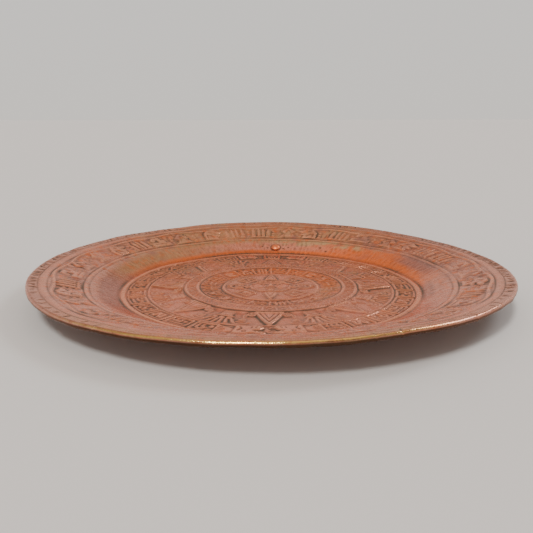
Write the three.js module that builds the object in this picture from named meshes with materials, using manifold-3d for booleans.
// A hammered copper tray: a shallow round dish raised from one sheet of copper,
// its edge rolled over a steel wire, with a riveted clip and a swinging ring
// under the far side to hang it by. Millimetres, +Z up, origin under the middle
// of the dish at the level it stands on. The hanger is on the +Y side.
import * as THREE from "three";
import { mergeVertices } from "three/addons/utils/BufferGeometryUtils.js";
import Module from "manifold-3d";

const wasm = await Module();
wasm.setup();

// Driving sizes of the dish.
const RIM_RADIUS = 152.5; // a 12 inch tray
const RIM_HEIGHT = 17.9; // top of the rolled edge, before the rim's warp
const SHEET = 0.7;
const WIRE_RADIUS = 0.75;
const ROLL_GAP = 0.2; // between the wire and the sheet rolled over it
const SEGMENTS = 72; // facets round every turned piece of the dish

// Radii of the features on the face, from the middle outwards.
const SUN_DISC = 31.5;
const SUN_WALL = 47;
const COLLAR_EDGE = 58;
const FLOOR_START = 59.6;
const BEAD = 96.4;
const BEAD_HALF = 1.6;
const WALL_FOOT = 98.4;
const WALL_TOP = 114.4;
const RING_LINE = 120;
const FRIEZE_EDGE = 140.5;
const BORDER_LINE = 145.7;

// Heights of the face above the table at those radii.
const COLLAR_RISE = 1.2;
const BEAD_RISE = 0.8;
const FOOT_HEIGHT = 1.4;
const WALL_TOP_HEIGHT = 8.8;
const RING_LINE_HEIGHT = 10.3;
const FRIEZE_EDGE_HEIGHT = 16;
const BORDER_HEIGHT = 17;

// The rolled edge.
const ROLL_INSIDE = WIRE_RADIUS + ROLL_GAP;
const ROLL_OUTSIDE = ROLL_INSIDE + SHEET;
const ROLL_CENTRE = RIM_RADIUS - ROLL_OUTSIDE;
const ROLL_HEIGHT = RIM_HEIGHT - ROLL_OUTSIDE;
const ROLL_STEPS = 6;
const ROLL_WRAP = 1.5 * Math.PI;

// The rim isn't quite flat: hand work leaves it waving up and down.
const WARP_START = 98;
const WARP_FULL = 148;
const WARP_SADDLE_COS = -1.17;
const WARP_SADDLE_SIN = -0.82;
const WARP_THREE_COS = -0.39;

// The hanger.
const HANGER_TURN = -1.6 * (Math.PI / 180); // round the dish from +Y
const RIVET_AT = 106.4; // distance from the middle of the dish, up the wall
const HEAD_RADIUS = 3.5;
const HEAD_RISE = 1.5;
const SHANK_RADIUS = 1.5;
const HOLE_RADIUS = 1.6;
const TAIL_RADIUS = 2.7;
const TAIL_RISE = 1.1;
const SEAT_GAP = 0.25; // left between pieces that lie on each other
const STRIP = 0.5;
const STRIP_WIDTH = 5;
const CLIP_TAIL = 4.6;
const EYE_INSIDE = 1.6;
const EYE_REACH = 8.5; // from the rivet to the eye of the clip
const WASHER_RADIUS = 3.6;
const WASHER_THICK = 0.5;
const RING_RADIUS = 10; // to the middle of the ring's wire
const WIRE_STEPS = 8; // facets round each wire
const RING_WIRE = 0.9;
const TABLE_GAP = 0.1; // left under the ring where it lies on the table

const COPPER = { color: 0xb4664a, roughness: 0.42, metalness: 1 };
const COPPER_STUD = { color: 0xc9714a, roughness: 0.35, metalness: 1 };
const STEEL = { color: 0x8a8783, roughness: 0.5, metalness: 1 };
const BRASS = { color: 0xb38a45, roughness: 0.4, metalness: 1 };

const model = new THREE.Group();

function add(name, geometry, look, parent = model) {
  const mesh = new THREE.Mesh(geometry, new THREE.MeshStandardMaterial(look));
  mesh.name = name;
  parent.add(mesh);
  return mesh;
}

// A profile of [radius, height] points turned about +Z.
function turned(profile, segments) {
  const points = profile.map(([r, z]) => new THREE.Vector2(r, z));
  return new THREE.LatheGeometry(points, segments).rotateX(Math.PI / 2);
}

function warpAt(x, y) {
  const angle = Math.atan2(y, x);
  const share = (Math.hypot(x, y) - WARP_START) / (WARP_FULL - WARP_START);
  const weight = Math.min(Math.max(share, 0), 1) ** 2;
  const saddle =
    WARP_SADDLE_COS * Math.cos(2 * angle) + WARP_SADDLE_SIN * Math.sin(2 * angle);
  return weight * (saddle + WARP_THREE_COS * Math.cos(3 * angle));
}

function warped(geometry) {
  const at = geometry.attributes.position;
  for (let i = 0; i < at.count; i++) {
    at.setZ(i, at.getZ(i) + warpAt(at.getX(i), at.getY(i)));
  }
  return geometry;
}

function solidOf(geometry) {
  const bare = geometry.clone();
  bare.deleteAttribute("normal");
  bare.deleteAttribute("uv");
  const joined = mergeVertices(bare, 1e-4);
  return new wasm.Manifold(
    new wasm.Mesh({
      numProp: 3,
      vertProperties: joined.attributes.position.array,
      triVerts: Uint32Array.from(joined.index.array),
    }),
  );
}

function geometryOf(solid) {
  const mesh = solid.getMesh();
  const geometry = new THREE.BufferGeometry();
  const places = new THREE.BufferAttribute(mesh.vertProperties, 3);
  geometry.setAttribute("position", places);
  geometry.setIndex(new THREE.BufferAttribute(mesh.triVerts, 1));
  geometry.computeVertexNormals();
  return geometry;
}

// The face of the dish from the middle to the start of the rolled edge.
const FACE = [
  [0, SHEET],
  [SUN_DISC, SHEET],
  [SUN_WALL, SHEET + COLLAR_RISE],
  [COLLAR_EDGE, SHEET + COLLAR_RISE],
  [FLOOR_START, SHEET],
  [BEAD - BEAD_HALF, SHEET],
  [BEAD, SHEET + BEAD_RISE],
  [WALL_FOOT, FOOT_HEIGHT],
  [WALL_TOP, WALL_TOP_HEIGHT],
  [RING_LINE, RING_LINE_HEIGHT],
  [FRIEZE_EDGE, FRIEZE_EDGE_HEIGHT],
  [BORDER_LINE, BORDER_HEIGHT],
];

function rollArc(radius, from, to) {
  const arc = [];
  for (let i = 0; i <= ROLL_STEPS; i++) {
    const angle = from + ((to - from) * i) / ROLL_STEPS;
    arc.push([
      ROLL_CENTRE + radius * Math.cos(angle),
      ROLL_HEIGHT + radius * Math.sin(angle),
    ]);
  }
  return arc;
}

// The back of the sheet: one thickness below the face, square to its slope on
// the wall and the rim, and straight below it on the floor.
function backOf(face) {
  return face.map(([r, z], i) => {
    if (r < WALL_FOOT) {
      return [r, z - SHEET];
    }
    const [r0, z0] = r === WALL_FOOT ? [r, z] : face[i - 1];
    const [r1, z1] = face[Math.min(i + 1, face.length - 1)];
    const slope = Math.atan2(z1 - z0, r1 - r0);
    return [r, z - SHEET / Math.cos(slope)];
  });
}

function sheetGeometry() {
  const top = Math.PI / 2;
  const profile = [
    ...FACE,
    ...rollArc(ROLL_OUTSIDE, top, top - ROLL_WRAP),
    ...rollArc(ROLL_INSIDE, top - ROLL_WRAP, top),
    ...backOf(FACE).reverse(),
  ];
  return warped(turned(profile.reverse(), SEGMENTS));
}

// Where the rivet goes through: the middle of its seat on the face, and the
// slope of the wall there.
const WALL_SLOPE = Math.atan2(
  WALL_TOP_HEIGHT - FOOT_HEIGHT,
  WALL_TOP - WALL_FOOT,
);
const RIVET_HEIGHT =
  FOOT_HEIGHT +
  (RIVET_AT - WALL_FOOT) * Math.tan(WALL_SLOPE) +
  warpAt(-RIVET_AT * Math.sin(HANGER_TURN), RIVET_AT * Math.cos(HANGER_TURN));

// The side of the dish that hangs uppermost, and in it the hanger's own frame:
// its origin on the face, +Y up the wall, +Z out of the face.
const upperSide = new THREE.Group();
upperSide.rotation.z = HANGER_TURN;
model.add(upperSide);
const hanger = new THREE.Group();
hanger.position.set(0, RIVET_AT, RIVET_HEIGHT);
hanger.rotation.x = WALL_SLOPE;
upperSide.add(hanger);

const BACK_FACE = -SHEET - SEAT_GAP;
const CLIP_BACK = BACK_FACE - 2 * STRIP;
const WASHER_FACE = CLIP_BACK - SEAT_GAP;
const TAIL_FACE = WASHER_FACE - WASHER_THICK - SEAT_GAP;

function traySheet() {
  const hole = new THREE.CylinderGeometry(HOLE_RADIUS, HOLE_RADIUS, 8, 24);
  hole.rotateX(Math.PI / 2);
  hanger.updateWorldMatrix(true, false);
  hole.applyMatrix4(hanger.matrixWorld);
  const cut = solidOf(sheetGeometry()).subtract(solidOf(hole));
  add("tray_sheet", geometryOf(cut), COPPER);
}

function rimWire() {
  const profile = [];
  for (let i = 0; i <= WIRE_STEPS; i++) {
    const angle = (2 * Math.PI * (i % WIRE_STEPS)) / WIRE_STEPS;
    profile.push([
      ROLL_CENTRE + WIRE_RADIUS * Math.cos(angle),
      ROLL_HEIGHT + WIRE_RADIUS * Math.sin(angle),
    ]);
  }
  add("rim_wire", warped(turned(profile, SEGMENTS)), STEEL);
}

// A domed head on the face, the shank, and the tail beaten over at the back.
function hangerRivet() {
  const domeSteps = 5;
  const profile = [];
  for (let i = 0; i <= domeSteps; i++) {
    const angle = (Math.PI / 2) * (i / domeSteps);
    profile.push([
      TAIL_RADIUS * Math.sin(angle),
      TAIL_FACE - TAIL_RISE * Math.cos(angle),
    ]);
  }
  profile.push([SHANK_RADIUS, TAIL_FACE], [SHANK_RADIUS, SEAT_GAP]);
  for (let i = 0; i <= domeSteps; i++) {
    const angle = (Math.PI / 2) * (1 - i / domeSteps);
    profile.push([
      HEAD_RADIUS * Math.sin(angle),
      SEAT_GAP + HEAD_RISE * Math.cos(angle),
    ]);
  }
  add("hanger_rivet", turned(profile, 20), COPPER_STUD, hanger);
}

function hangerWasher() {
  const low = WASHER_FACE - WASHER_THICK;
  const profile = [
    [HOLE_RADIUS, low],
    [WASHER_RADIUS, low],
    [WASHER_RADIUS, WASHER_FACE],
    [HOLE_RADIUS, WASHER_FACE],
    [HOLE_RADIUS, low],
  ];
  add("hanger_washer", turned(profile, 28), BRASS, hanger);
}

// A strip folded double over the ring: two leaves under the rivet and an eye.
const EYE_OUTSIDE = EYE_INSIDE + STRIP;
const EYE_DEPTH = BACK_FACE - EYE_OUTSIDE;

function hangerClip() {
  const meet = Math.asin((CLIP_BACK - EYE_DEPTH) / EYE_OUTSIDE);
  const side = new THREE.Shape();
  side.moveTo(-CLIP_TAIL, BACK_FACE);
  side.lineTo(-CLIP_TAIL, CLIP_BACK);
  side.lineTo(EYE_REACH - EYE_OUTSIDE * Math.cos(meet), CLIP_BACK);
  side.absarc(EYE_REACH, EYE_DEPTH, EYE_OUTSIDE, Math.PI - meet, 2.5 * Math.PI);
  side.closePath();
  const eye = new THREE.Path();
  eye.absarc(EYE_REACH, EYE_DEPTH, EYE_INSIDE, 0, 2 * Math.PI, true);
  side.holes.push(eye);
  // Drawn in (along the wall, out of the face), then stood across the dish.
  const strip = new THREE.ExtrudeGeometry(side, {
    depth: STRIP_WIDTH,
    bevelEnabled: false,
    curveSegments: 14,
  });
  strip.translate(0, 0, -STRIP_WIDTH / 2);
  strip.rotateY(Math.PI / 2).rotateX(Math.PI / 2);
  const hole = new THREE.CylinderGeometry(HOLE_RADIUS, HOLE_RADIUS, 6, 24);
  hole.rotateX(Math.PI / 2);
  hole.translate(0, 0, CLIP_BACK);
  const cut = solidOf(strip).subtract(solidOf(hole));
  add("hanger_clip", geometryOf(cut), BRASS, hanger);
}

// The ring swings on the line through the clip's eye. At rest the tray stands
// on a table, and the ring leans outwards with its far side just on it.
function hangingRing() {
  hanger.updateMatrix();
  const pivot = new THREE.Vector3(0, EYE_REACH, EYE_DEPTH);
  pivot.applyMatrix4(hanger.matrix);
  const drop = pivot.z - RING_WIRE - TABLE_GAP;
  const swing = new THREE.Group();
  swing.position.copy(pivot);
  swing.rotation.x = -Math.asin(drop / (2 * RING_RADIUS));
  upperSide.add(swing);
  const ring = new THREE.TorusGeometry(RING_RADIUS, RING_WIRE, WIRE_STEPS, 36);
  ring.translate(0, RING_RADIUS, 0);
  add("hanging_ring", ring, BRASS, swing);
}

traySheet();
rimWire();
hangerRivet();
hangerWasher();
hangerClip();
hangingRing();

export default model;
